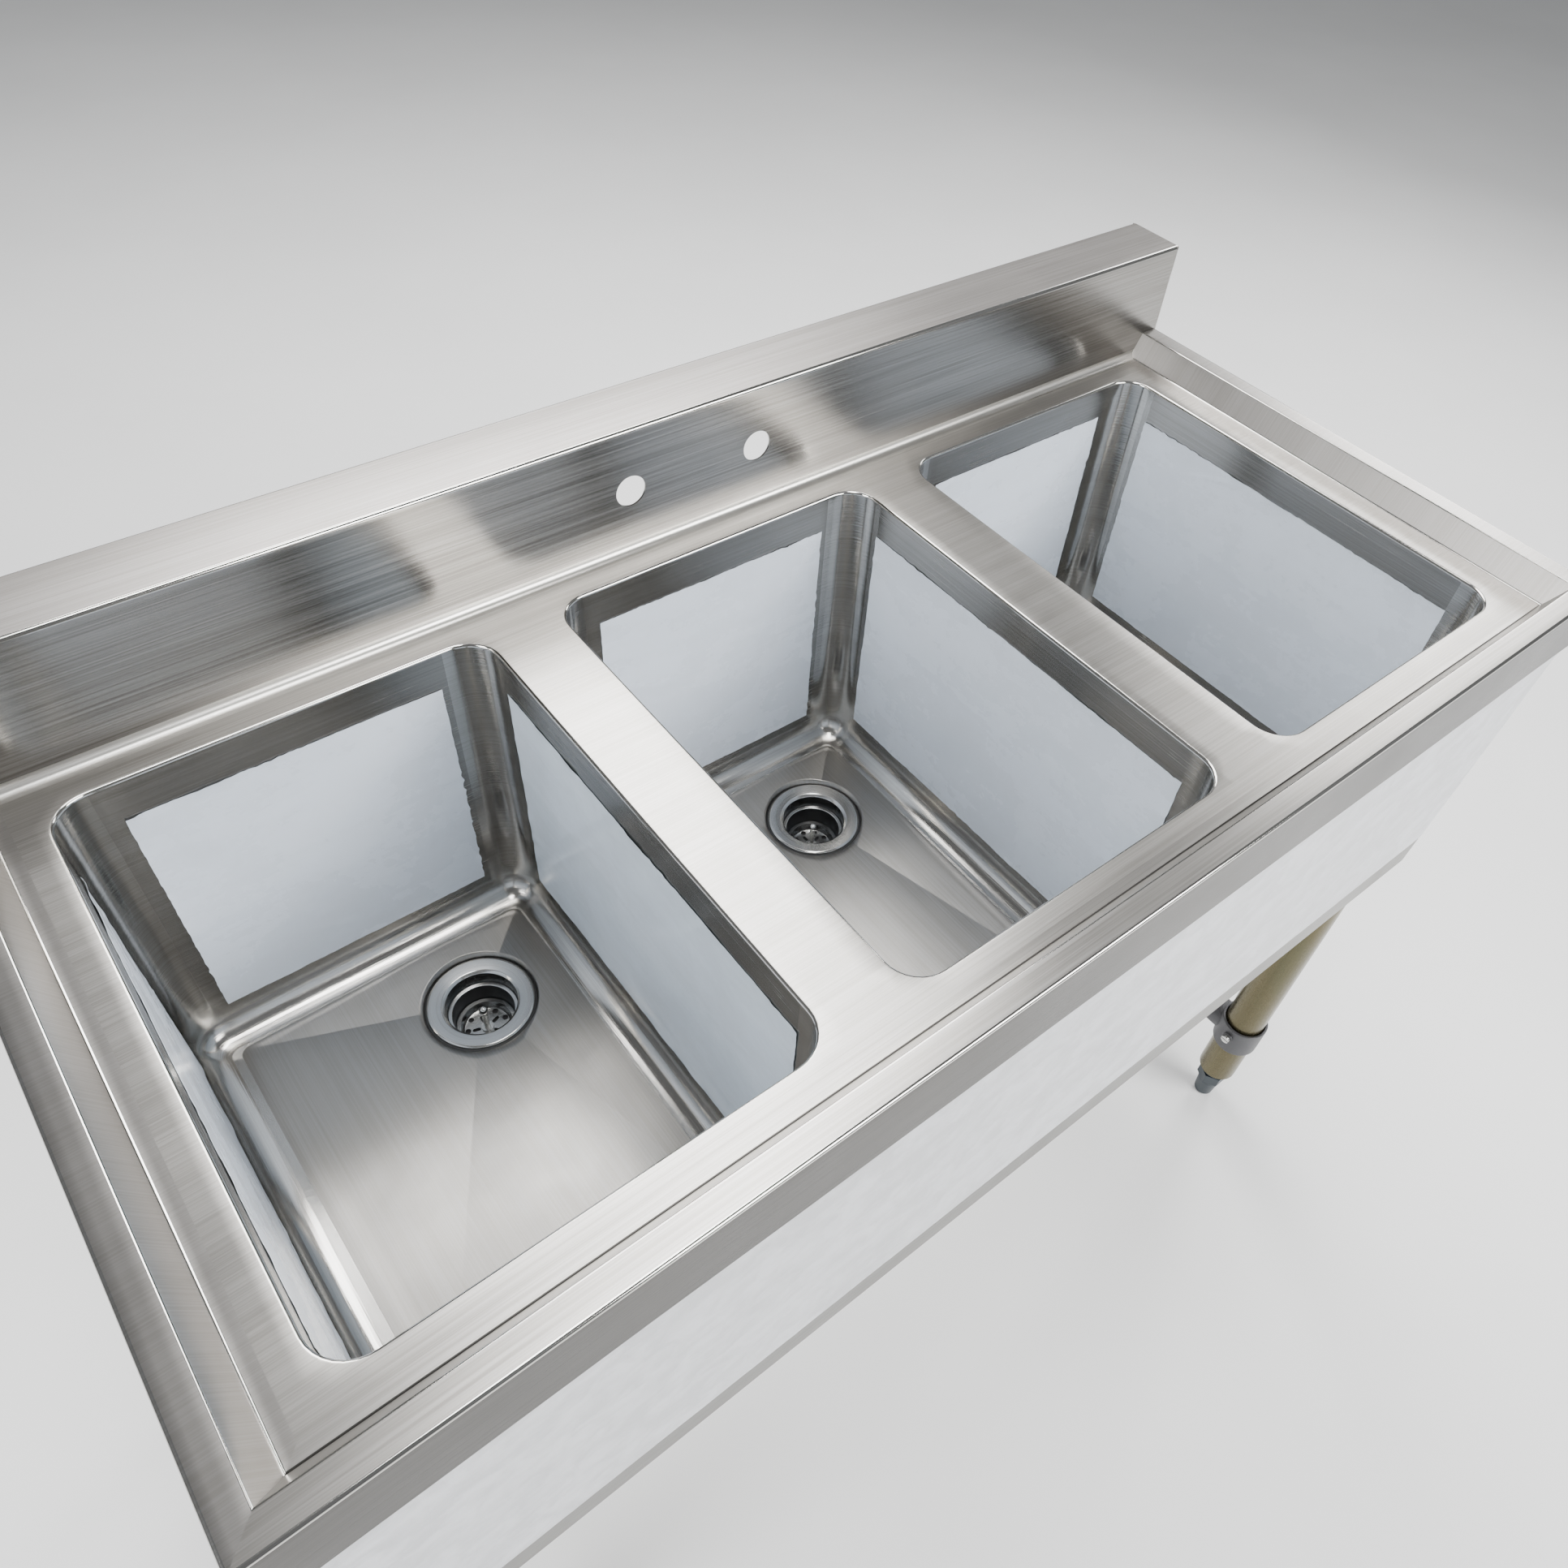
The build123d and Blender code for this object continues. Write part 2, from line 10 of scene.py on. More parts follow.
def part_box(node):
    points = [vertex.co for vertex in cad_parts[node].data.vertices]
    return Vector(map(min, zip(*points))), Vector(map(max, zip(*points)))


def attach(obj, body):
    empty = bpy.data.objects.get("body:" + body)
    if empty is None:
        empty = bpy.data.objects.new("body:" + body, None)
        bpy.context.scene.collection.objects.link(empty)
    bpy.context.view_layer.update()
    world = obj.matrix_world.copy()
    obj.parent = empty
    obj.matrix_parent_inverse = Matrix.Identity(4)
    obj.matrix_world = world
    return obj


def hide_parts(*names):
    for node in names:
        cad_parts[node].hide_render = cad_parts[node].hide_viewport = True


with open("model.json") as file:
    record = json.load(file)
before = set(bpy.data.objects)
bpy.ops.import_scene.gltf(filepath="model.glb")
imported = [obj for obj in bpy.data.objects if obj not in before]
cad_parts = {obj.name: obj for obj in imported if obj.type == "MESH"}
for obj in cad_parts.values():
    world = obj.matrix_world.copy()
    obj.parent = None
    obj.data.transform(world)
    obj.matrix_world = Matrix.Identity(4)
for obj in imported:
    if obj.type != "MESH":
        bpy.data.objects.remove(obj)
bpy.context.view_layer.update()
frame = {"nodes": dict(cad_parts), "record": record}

# A three compartment sink in brushed stainless steel: the pressed top, the bowls, the
# protective film and the drains are rebuilt here as fine meshes round the CAD frame.
# Metres, +X right, +Y back, +Z up.

MM = 0.001
SIDES = ("left", "middle", "right")
RECORD = frame["record"]
MOUNTS = {m["name"]: m for m in RECORD["mounts"]}

# ------------------------------------------------------------------ places from the frame
SHEET = 1.2 * MM                          # steel of the top and the bowls
LIP = 6 * MM                              # the CAD bowls start this far below the deck
BOWL_BASE = 3.2 * MM                      # bowl floor above the underside of its box
top_lo, top_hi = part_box("sink_top")
bowl_boxes = {s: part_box("bowl_" + s) for s in SIDES}
DECK = bowl_boxes["middle"][1].z + LIP
BOWL_LO = {s: bowl_boxes[s][0] + Vector((SHEET, SHEET, 0)) for s in SIDES}
BOWL_HI = {s: bowl_boxes[s][1] - Vector((SHEET, SHEET, 0)) for s in SIDES}
FLOOR_Z = bowl_boxes["middle"][0].z + BOWL_BASE
FAUCET = Vector(MOUNTS["faucet_holes"]["pos_m"])
SPLASH_Y = FAUCET.y
EDGE_OUT = 26.2 * MM                      # level width of the raised edge
EDGE_RUN = 10.2 * MM                      # level width of its slope
EDGE_RISE = 19.6 * MM                     # height of its flat top above the deck
EDGE_DROP = 52.4 * MM                     # height of its down-turned face
OVERLAP = 8 * MM                          # width of the strips that join on to the deck
CREASE_X = top_hi.x - EDGE_OUT
CREASE_Y = top_lo.y + EDGE_OUT
CORNER_R = 22 * MM                        # upright corners of a bowl
COVE_R = 18 * MM                          # between its walls and floor
LIP_R = 2.0 * MM                          # rolled edge of an opening
FLOOR_RISE = 6.5 * MM                     # edge of a bowl floor above its drain
FLANGE_DROP = 25 * MM                     # rear flange of the ledge
PLATE_DROP = EDGE_DROP - EDGE_RISE        # end plates reach this far below the deck


def drain_centre(side):
    """Middle of a drain flange, on top of it."""
    lo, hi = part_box("drain_body_" + side)
    return Vector(((lo.x + hi.x) / 2, (lo.y + hi.y) / 2, hi.z))


# ------------------------------------------------------------------ mesh helpers
def wave(x, y, z, size, depth=2):
    """Smooth noise between about -1 and 1 whose bumps are about size metres across."""
    return noise.fractal(Vector((x / size, y / size, z / size)), 1.0, 2.0, depth)


def new_object(name, verts, faces, uvs=None, smooth=True):
    """A mesh object from points and faces; uvs is one (u, v) pair for each point."""
    mesh = bpy.data.meshes.new(name)
    mesh.from_pydata([tuple(v) for v in verts], [], [tuple(f) for f in faces])
    if uvs is not None:
        layer = mesh.uv_layers.new(name="grain")
        index = np.empty(len(mesh.loops), int)
        mesh.loops.foreach_get("vertex_index", index)
        layer.data.foreach_set("uv", np.asarray(uvs, float)[index].ravel())
    mesh.validate()
    if smooth:
        mesh.shade_smooth()
        count = np.zeros(len(mesh.edges), int)
        used = np.empty(len(mesh.loops), int)
        mesh.loops.foreach_get("edge_index", used)
        np.add.at(count, used, 1)
        mesh.edges.foreach_set("use_edge_sharp", count == 1)
    obj = bpy.data.objects.new(name, mesh)
    bpy.context.collection.objects.link(obj)
    return obj


def grid_faces(rows, cols, wrap=False, flip=False):
    """Quads of a rows x cols grid of points; wrap joins the last column to the first."""
    last = cols if wrap else cols - 1
    faces = []
    for r in range(rows - 1):
        for c in range(last):
            a, b = r * cols + c, r * cols + (c + 1) % cols
            quad = (a, b, b + cols, a + cols)
            faces.append(quad[::-1] if flip else quad)
    return faces


def grid_object(name, points, uvs, wrap=False, flip=False):
    """An object from an array of points, rows x cols x 3, and their uvs."""
    points, uvs = np.asarray(points, float), np.asarray(uvs, float)
    rows, cols = points.shape[:2]
    faces = grid_faces(rows, cols, wrap, flip)
    return new_object(name, points.reshape(-1, 3), faces, uvs.reshape(-1, 2))


def thicken(obj, thickness=SHEET):
    """Gives a single surface the thickness of its sheet, away from its face side."""
    mod = obj.modifiers.new("sheet", "SOLIDIFY")
    mod.thickness = thickness
    mod.offset = -1
    mod.use_even_offset = True
    return obj


def place(obj, material, body, replaced=(), others=()):
    """Materials and body of a new piece; the CAD nodes it stands for are hidden."""
    obj.data.materials.clear()
    for each in (material, *others):
        obj.data.materials.append(each)
    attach(obj, body)
    if replaced:
        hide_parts(*replaced)
    return obj


def rounded_polyline(points, radii, steps=6):
    """Points along a polyline whose inner corners are arcs of the given radii."""
    points = [np.asarray(p, float) for p in points]
    out = [points[0]]
    for i in range(1, len(points) - 1):
        p, radius = points[i], radii[i - 1]
        to_last = (points[i - 1] - p) / np.linalg.norm(points[i - 1] - p)
        to_next = (points[i + 1] - p) / np.linalg.norm(points[i + 1] - p)
        half = math.acos(np.clip(to_last @ to_next, -1, 1)) / 2
        bisector = (to_last + to_next) / np.linalg.norm(to_last + to_next)
        centre = p + bisector * radius / math.sin(half)
        start = p + to_last * radius / math.tan(half)
        stop = p + to_next * radius / math.tan(half)
        first, last = start - centre, stop - centre
        sweep = math.acos(np.clip(first @ last / radius**2, -1, 1))
        for k in range(steps + 1):
            t = k / steps
            blend = math.sin((1 - t) * sweep) * first + math.sin(t * sweep) * last
            out.append(centre + blend / math.sin(sweep))
    out.append(points[-1])
    return np.array(out)


def subdivide(points, step):
    """Adds points so that no run of a polyline is longer than step."""
    out = [points[0]]
    for a, b in zip(points[:-1], points[1:]):
        parts = max(1, math.ceil(np.linalg.norm(b - a) / step - 1e-6))
        out += [a + (b - a) * k / parts for k in range(1, parts + 1)]
    return np.array(out)


def arc_lengths(points):
    """Distance along a polyline at each of its points."""
    return np.concatenate([[0], np.cumsum(np.linalg.norm(np.diff(points, axis=0), axis=1))])


def ring(hx, hy, radius, arc=8, across=40, along=56):
    """Points round a rectangle with rounded corners, centred on the origin, anticlockwise."""
    out = []
    corners = ((1, 1), (-1, 1), (-1, -1), (1, -1))
    counts = (across, along, across, along)
    for k, (sx, sy) in enumerate(corners):
        centre = np.array((sx * (hx - radius), sy * (hy - radius)))
        start = k * math.pi / 2
        for j in range(arc):
            angle = start + (j / arc) * math.pi / 2
            out.append(centre + radius * np.array((math.cos(angle), math.sin(angle))))
        end = start + math.pi / 2
        here = centre + radius * np.array((math.cos(end), math.sin(end)))
        nx, ny = corners[(k + 1) % 4]
        there = np.array((nx * (hx - radius), ny * (hy - radius)))
        there = there + radius * np.array((math.cos(end), math.sin(end)))
        out += [here + (there - here) * j / counts[k] for j in range(counts[k])]
    return np.array(out)


def circle(centre, radius, count=64):
    """Points round a circle in the plane, anticlockwise."""
    turns = np.arange(count) / count * 2 * math.pi
    return np.asarray(centre) + radius * np.stack([np.cos(turns), np.sin(turns)], axis=1)


def flat_with_holes(width_range, depth_range, holes, step):
    """Triangles over a rectangle with holes, fine enough to be bent or dented."""
    (x0, x1), (y0, y1) = width_range, depth_range
    frame_loop = np.array([(x0, y0), (x1, y0), (x1, y1), (x0, y1), (x0, y0)])
    outline = subdivide(frame_loop, step)[:-1]
    loops = [outline] + list(holes)
    points, edges = [], []
    for loop in loops:
        base = len(points)
        points += [tuple(p) for p in loop]
        edges += [(base + i, base + (i + 1) % len(loop)) for i in range(len(loop))]
    for x in np.arange(x0 + step, x1 - step / 2, step):
        for y in np.arange(y0 + step, y1 - step / 2, step):
            if all(outside(loop, x, y, step * 0.5) for loop in holes):
                points.append((x, y))
    done = delaunay_2d_cdt([Vector(p) for p in points], edges, [], 1, 1e-7)
    verts = [tuple(v) for v in done[0]]
    faces = []
    for face in done[2]:
        middle = sum((Vector(verts[i]) for i in face), Vector((0, 0))) / len(face)
        if all(outside(loop, middle.x, middle.y, 0) for loop in holes):
            faces.append(tuple(face))
    return np.array(verts), faces


def indices(points, wanted):
    """Index of the point nearest to each wanted point."""
    wanted = np.asarray(wanted)
    gaps = points[:, None, :2] - wanted[None, :, :2]
    return [int(i) for i in np.hypot(gaps[..., 0], gaps[..., 1]).argmin(axis=0)]


def outside(loop, x, y, margin):
    """True if a point is outside a convex anticlockwise loop by more than a margin."""
    along = np.roll(loop, -1, axis=0) - loop
    length = np.hypot(along[:, 0], along[:, 1])[:, None]
    out = np.stack([along[:, 1], -along[:, 0]], axis=1) / length
    return float(((np.array((x, y)) - loop) * out).sum(axis=1).max()) > margin


def lathe(name, profile, centre, steps=96, around=None):
    """A turned piece from an outline of (radius, height) pairs in mm, outside first, going down.

    around(angle, radius, height) may give each point a small (radius, height) offset in mm.
    """
    profile = np.asarray(profile, float)
    turns = np.arange(steps) / steps * 2 * math.pi
    rows = []
    for radius, height in profile:
        shift = np.array([around(a, radius, height) if around else (0, 0) for a in turns], float)
        r, h = (radius + shift[:, 0]) * MM, (height + shift[:, 1]) * MM
        rows.append(np.stack([r * np.cos(turns), r * np.sin(turns), h], axis=1))
    points = np.array(rows) + np.array(tuple(centre))
    lengths = arc_lengths(profile) * MM
    uvs = np.stack(np.broadcast_arrays(turns[None, :] * 0.03, lengths[:, None]), axis=2)
    return grid_object(name, points, uvs, wrap=True, flip=True)


# ------------------------------------------------------------------ materials
class Shader:
    """Short names for building a node material."""

    def __init__(self, name):
        self.material = bpy.data.materials.new(name)
        self.material.use_nodes = True
        self.nodes = self.material.node_tree.nodes
        self.links = self.material.node_tree.links
        self.nodes.clear()
        self.out = self.nodes.new("ShaderNodeOutputMaterial")
        self.bsdf = self.nodes.new("ShaderNodeBsdfPrincipled")
        self.links.new(self.bsdf.outputs[0], self.out.inputs[0])

    def set(self, **values):
        for key, value in values.items():
            self.bsdf.inputs[key.replace("_", " ")].default_value = value
        return self

    def link(self, source, socket):
        self.links.new(source, self.bsdf.inputs[socket])

    def coords(self, kind, scale=(1, 1, 1), turn=0.0):
        """Texture coordinates: grain is the piece's own length and width in metres."""
        if kind == "grain":
            node = self.nodes.new("ShaderNodeUVMap")
            node.uv_map = "grain"
            source = node.outputs[0]
        else:
            source = self.nodes.new("ShaderNodeTexCoord").outputs[kind]
        mapping = self.nodes.new("ShaderNodeMapping")
        mapping.inputs["Scale"].default_value = scale
        mapping.inputs["Rotation"].default_value = (0, 0, turn)
        self.links.new(source, mapping.inputs[0])
        return mapping.outputs[0]

    def noise(self, vector, scale=1.0, detail=2.0, rough=0.5, warp=0.0):
        node = self.nodes.new("ShaderNodeTexNoise")
        node.inputs["Scale"].default_value = scale
        node.inputs["Detail"].default_value = detail
        node.inputs["Roughness"].default_value = rough
        node.inputs["Distortion"].default_value = warp
        self.links.new(vector, node.inputs["Vector"])
        return node.outputs["Fac"]

    def ramp(self, value, *stops):
        """Maps a value through (position, level) stops, or (position, colour) stops."""
        node = self.nodes.new("ShaderNodeValToRGB")
        elements = node.color_ramp.elements
        while len(elements) < len(stops):
            elements.new(0.5)
        for element, (position, level) in zip(elements, stops):
            element.position = position
            shade = (level, level, level) if isinstance(level, (int, float)) else level
            element.color = (*shade[:3], 1)
        self.links.new(value, node.inputs[0])
        return node.outputs[0]

    def math(self, kind, a, b, clamp=False):
        node = self.nodes.new("ShaderNodeMath")
        node.operation = kind
        node.use_clamp = clamp
        for socket, value in zip(node.inputs, (a, b)):
            if isinstance(value, (int, float)):
                socket.default_value = value
            else:
                self.links.new(value, socket)
        return node.outputs[0]

    def total(self, *terms):
        """Sum of (value, weight) terms."""
        result = 0.0
        for value, weight in terms:
            scaled = self.math("MULTIPLY", value, weight)
            result = self.math("ADD", scaled, result)
        return result

    def mix(self, fac, a, b):
        node = self.nodes.new("ShaderNodeMix")
        node.data_type = "RGBA"
        for socket, value in ((node.inputs[0], fac), (node.inputs[6], a), (node.inputs[7], b)):
            if isinstance(value, (int, float)):
                socket.default_value = value
            elif isinstance(value, (tuple, list)):
                socket.default_value = (*value[:3], 1)
            else:
                self.links.new(value, socket)
        return node.outputs[2]

    def bump(self, height, distance, strength=1.0):
        node = self.nodes.new("ShaderNodeBump")
        node.inputs["Strength"].default_value = strength
        node.inputs["Distance"].default_value = distance
        self.links.new(height, node.inputs["Height"])
        self.links.new(node.outputs[0], self.bsdf.inputs["Normal"])

    def tangent(self):
        node = self.nodes.new("ShaderNodeTangent")
        node.direction_type = "UV_MAP"
        node.uv_map = "grain"
        self.links.new(node.outputs[0], self.bsdf.inputs["Tangent"])


def brushed(
    name, colour, rough, streaks=1.0, smudges=1.0, anisotropy=0.7, space="grain", ridges=0.0
):
    """Brushed stainless steel: long fine scratches along u, soft smudges, ridges where ground."""
    tint = (1.0, 0.985, 0.955)
    s = Shader(name)
    deep = 1 if space == "grain" else 620
    fine = s.noise(s.coords(space, (7, 1300, deep * 2)), detail=3, rough=0.65)
    medium = s.noise(s.coords(space, (3.2, 500, deep)), detail=3, rough=0.65)
    broad = s.noise(s.coords(space, (1.4, 60, 60)), detail=2)
    cloud = s.noise(s.coords("Object"), scale=9, detail=4, rough=0.55, warp=0.4)
    grime = s.noise(s.coords("Object"), scale=38, detail=5, rough=0.6, warp=0.8)
    streak = s.total((fine, 0.45), (medium, 0.35), (broad, 0.2))
    stain = s.ramp(s.total((cloud, 0.7), (grime, 0.3)), (0.36, 0.0), (0.66, 1.0))
    dark = tuple(c * t * (1 - 0.20 * streaks) for c, t in zip(colour, tint))
    light = tuple(min(1, c * (1 + 0.10 * streaks)) for c in colour)
    base = s.mix(s.ramp(streak, (0.43, 0.0), (0.57, 1.0)), dark, light)
    worn = tuple(c * 0.93 * t for c, t in zip(colour, tint))
    s.link(s.mix(s.math("MULTIPLY", stain, 0.3 * smudges), base, worn), "Base Color")
    level = s.total((streak, 0.22 * streaks), (stain, 0.035 * smudges), (cloud, 0.04))
    s.link(s.math("ADD", level, rough - 0.11 * streaks - 0.03, clamp=True), "Roughness")
    s.set(Metallic=1.0)
    if space == "grain":
        s.set(Anisotropic=anisotropy, Anisotropic_Rotation=0.25)
        s.tangent()
    cut = s.noise(s.coords(space, (14, 640, deep)), detail=3, rough=0.6, warp=0.3)
    s.bump(s.total((fine, 0.5), (medium, 0.5), (cut, 6.0 * ridges)), 0.00005 * streaks)
    return s.material


def protective_film(name, colour, rough, mottle=0.07, relief=0.0006, size=16):
    """Thin blue-white peel-off film: satin, with faint mottling and tiny blisters."""
    s = Shader(name)
    cloud = s.noise(s.coords("Object"), scale=size, detail=5, rough=0.55, warp=0.6)
    speck = s.noise(s.coords("Object"), scale=150, detail=3, rough=0.6)
    drag = s.noise(s.coords("grain", (6, 55, 1), 0.5), detail=4, rough=0.6, warp=0.5)
    tone = s.ramp(s.total((cloud, 0.55), (drag, 0.3), (speck, 0.15)), (0.42, 0.0), (0.58, 1.0))
    shade = tuple(c * (1 - mottle) for c in colour)
    s.link(s.mix(tone, shade, colour), "Base Color")
    s.link(s.math("ADD", s.math("MULTIPLY", tone, 0.14), rough, clamp=True), "Roughness")
    s.set(IOR=1.5)
    s.bump(s.total((cloud, 0.7), (drag, 0.25), (speck, 0.08)), relief)
    return s.material


def plain(name, colour, rough, metallic=0.0, grain=60.0, depth=0.00015, vary=0.12):
    """Cast, moulded or plated surface: mottled colour and roughness over a fine bump."""
    s = Shader(name)
    cloud = s.noise(s.coords("Object"), scale=grain * 0.4, detail=4, rough=0.6)
    fine = s.noise(s.coords("Object"), scale=grain * 14, detail=3, rough=0.6)
    low = tuple(c * (1 - vary) for c in colour)
    high = tuple(min(1, c * (1 + vary)) for c in colour)
    s.link(s.mix(s.ramp(cloud, (0.35, 0.0), (0.65, 1.0)), low, high), "Base Color")
    level = s.total((cloud, 0.16), (fine, 0.10))
    s.link(s.math("ADD", level, rough - 0.13, clamp=True), "Roughness")
    s.set(Metallic=metallic)
    s.bump(s.total((cloud, 0.4), (fine, 0.6)), depth)
    return s.material


def passivated(name):
    """Zinc plated tube with golden-olive passivation that drifts in hue along the tube."""
    s = Shader(name)
    drift = s.noise(s.coords("Object", (9, 9, 2.2)), detail=4, rough=0.55, warp=0.5)
    drawn = s.noise(s.coords("Object", (260, 260, 5)), detail=3, rough=0.6)
    speck = s.noise(s.coords("Object"), scale=420, detail=2)
    hue = s.ramp(
        drift,
        (0.30, (0.10, 0.115, 0.07)),
        (0.45, (0.135, 0.115, 0.062)),
        (0.58, (0.150, 0.132, 0.072)),
        (0.72, (0.13, 0.135, 0.085)),
    )
    s.link(s.mix(s.math("MULTIPLY", drawn, 0.35), hue, (0.06, 0.055, 0.03)), "Base Color")
    s.link(s.total((drawn, 0.25), (speck, 0.12), (drift, 0.2)), "Roughness")
    s.set(Metallic=0.85)
    s.bump(s.total((drawn, 0.6), (speck, 0.3)), 0.00008)
    return s.material


deck_steel = brushed(
    "deck_steel", (0.47, 0.456, 0.435), 0.33, streaks=0.85, smudges=0.8, anisotropy=0.6
)
edge_steel = brushed("edge_steel", (0.48, 0.465, 0.445), 0.32, streaks=0.8, smudges=0.8)
# darker copy of the edge steel for the down-turned front face: its darkness is painted shade,
# standing in for the dark ground the face reflects
face_painted_shade_steel = brushed("face_painted_shade_steel", (0.115, 0.111, 0.105), 0.30, streaks=1.6, smudges=1.2)
side_steel = brushed("side_steel", (0.45, 0.435, 0.42), 0.33, streaks=0.5, smudges=0.8)
# lighter copy of the steel for bends, folds and rolled edges: the lighter colour is a painted
# highlight along each bend, and the lower roughness sharpens its real reflections
bend_painted_highlight_steel = brushed(
    "bend_painted_highlight_steel", (0.62, 0.61, 0.59), 0.12, streaks=0.4, smudges=0.4, anisotropy=0.2
)
splash_steel = brushed(
    "splash_steel", (0.38, 0.37, 0.355), 0.22, streaks=1.4, smudges=0.8, anisotropy=0.8
)
# darker, rougher copy of the steel for the top of the ledge: the darker colour is painted shade
# that holds back the overhead lamp's reflection
ledge_painted_shade_steel = brushed("ledge_painted_shade_steel", (0.335, 0.32, 0.308), 0.42, streaks=0.9, anisotropy=0.3)
# darker copy of the deck steel for the bowl walls: painted shade inside the bowls
bowl_painted_shade_steel = brushed(
    "bowl_painted_shade_steel", (0.34, 0.33, 0.315), 0.24, streaks=0.9, smudges=1.2, anisotropy=0.5
)
# darker still for the bowl floors and drain recesses: painted shade at the bottom of the bowls
floor_painted_shade_steel = brushed(
    "floor_painted_shade_steel", (0.28, 0.272, 0.26), 0.31, streaks=0.5, smudges=1.6, anisotropy=0.4
)
ground_steel = brushed(
    "ground_steel", (0.50, 0.49, 0.472), 0.15, streaks=0.9, smudges=1.6, anisotropy=0.2, ridges=0.35
)
# near black and not metal, for the inside of the drain cup: a painted shadow in the cup
cup_painted_shadow = plain("cup_painted_shadow", (0.010, 0.010, 0.010), 0.4, metallic=0.0, grain=150, vary=0.3)
# lighter copy of the steel for the foot of the backsplash: a painted highlight along its cove
root_painted_highlight_steel = brushed(
    "root_painted_highlight_steel", (0.60, 0.59, 0.565), 0.30, streaks=0.5, smudges=0.5, anisotropy=0.3
)
# near-black copy of the steel for the bend where the front edge meets the deck: painted shade in
# the crease
crease_painted_shade_steel = brushed(
    "crease_painted_shade_steel", (0.055, 0.053, 0.05), 0.34, streaks=0.5, smudges=0.4, anisotropy=0.2
)
# dark steel for the drain throat below the flange: painted shade in the throat
throat_painted_shade = plain("throat_painted_shade", (0.10, 0.10, 0.098), 0.26, metallic=1.0, grain=120)
# darker copy of the steel for the bare front apron: painted shade, standing in for the dark ground
# it reflects
apron_painted_shade_steel = brushed(
    "apron_painted_shade_steel", (0.24, 0.235, 0.225), 0.34, streaks=1.5, smudges=2.0, space="Object"
)
turned_steel = brushed(
    "turned_steel", (0.52, 0.52, 0.515), 0.20, streaks=0.6, smudges=0.6, anisotropy=0.5
)
strainer_steel = plain("strainer_steel", (0.50, 0.50, 0.49), 0.18, metallic=1.0, grain=120)
film_blue = protective_film("film_blue", (0.76, 0.82, 0.895), 0.20)
film_gloss = protective_film("film_gloss", (0.70, 0.78, 0.86), 0.05)
film_white = protective_film(
    "film_white", (0.80, 0.815, 0.845), 0.28, mottle=0.20, relief=0.0016, size=48
)
rubber = plain("rubber", (0.012, 0.012, 0.012), 0.55, depth=0.0002)
fibre = plain("fibre", (0.30, 0.18, 0.10), 0.8, grain=160)
cast_grey = plain("cast_grey", (0.095, 0.095, 0.10), 0.46, metallic=0.6, grain=90, depth=0.0003)
galvanised = plain("galvanised", (0.50, 0.51, 0.52), 0.42, metallic=0.9, grain=45, vary=0.18)
zinc = plain("zinc", (0.62, 0.62, 0.60), 0.25, metallic=1.0, grain=80)
nylon = plain("nylon", (0.030, 0.042, 0.052), 0.42, grain=50)
tube = passivated("tube")


# ------------------------------------------------------------------ the pressed top
def lip_profile():
    """Outward offset and height of the rolled edge of an opening, from deck to bowl."""
    turns = np.linspace(0, math.pi / 2, 7)
    return np.stack([LIP_R * (1 - np.sin(turns)), LIP_R * (np.cos(turns) - 1)], axis=1)


def make_deck():
    """Flat deck with three openings, each with a rolled edge that turns down to the bowl."""
    loops = []
    for side in SIDES:
        lo, hi = BOWL_LO[side], BOWL_HI[side]
        half = ((hi.x - lo.x) / 2 + LIP_R, (hi.y - lo.y) / 2 + LIP_R)
        centre = np.array(((hi.x + lo.x) / 2, (hi.y + lo.y) / 2))
        loops.append(ring(*half, CORNER_R + LIP_R) + centre)
    flat, faces = flat_with_holes(
        (-CREASE_X + OVERLAP, CREASE_X - OVERLAP),
        (CREASE_Y + OVERLAP, SPLASH_Y - OVERLAP),
        loops,
        9 * MM,
    )
    verts = [(x, y, DECK) for x, y in flat]
    for side, loop in zip(SIDES, loops):
        lo, hi = BOWL_LO[side], BOWL_HI[side]
        centre = np.array(((hi.x + lo.x) / 2, (hi.y + lo.y) / 2))
        last = indices(flat, loop)
        for offset, drop in lip_profile()[1:]:
            half = ((hi.x - lo.x) / 2 + offset, (hi.y - lo.y) / 2 + offset)
            now = ring(*half, CORNER_R + offset) + centre
            base = len(verts)
            verts += [(x, y, DECK + drop) for x, y in now]
            count = len(now)
            for i in range(count):
                j = (i + 1) % count
                faces.append((last[i], last[j], base + j, base + i))
            last = [base + i for i in range(count)]
    verts = np.array(verts)
    from_ends = CREASE_X - np.abs(verts[:, 0])
    edge = np.minimum(from_ends, np.minimum(verts[:, 1] - CREASE_Y, SPLASH_Y - verts[:, 1]))
    fade = np.clip((edge - OVERLAP) / (12 * MM), 0, 1)
    for v, f in zip(verts, fade):
        v[2] += 0.16 * MM * f * wave(v[0], v[1], 3.0, 0.09)
    uvs = verts[:, :2]
    deck = new_object("deck_sheet", verts, faces, uvs)
    place(thicken(deck), deck_steel, "sink", ("sink_top",), (bend_painted_highlight_steel,))
    # the rolled opening edges take the lighter bend steel: a painted highlight
    level = 0.985
    for polygon in deck.data.polygons:
        if polygon.normal.z < level:
            polygon.material_index = 1


def edge_profile():
    """Outward offset and height of the raised edge, from the deck over to its lower edge."""
    top, bottom = EDGE_RISE, EDGE_RISE - EDGE_DROP
    points = [(-OVERLAP, 0), (0, 0), (EDGE_RUN, top), (EDGE_OUT, top), (EDGE_OUT, bottom)]
    return subdivide(rounded_polyline(points, (1.6 * MM, 1.2 * MM, 2.0 * MM)), 6 * MM)


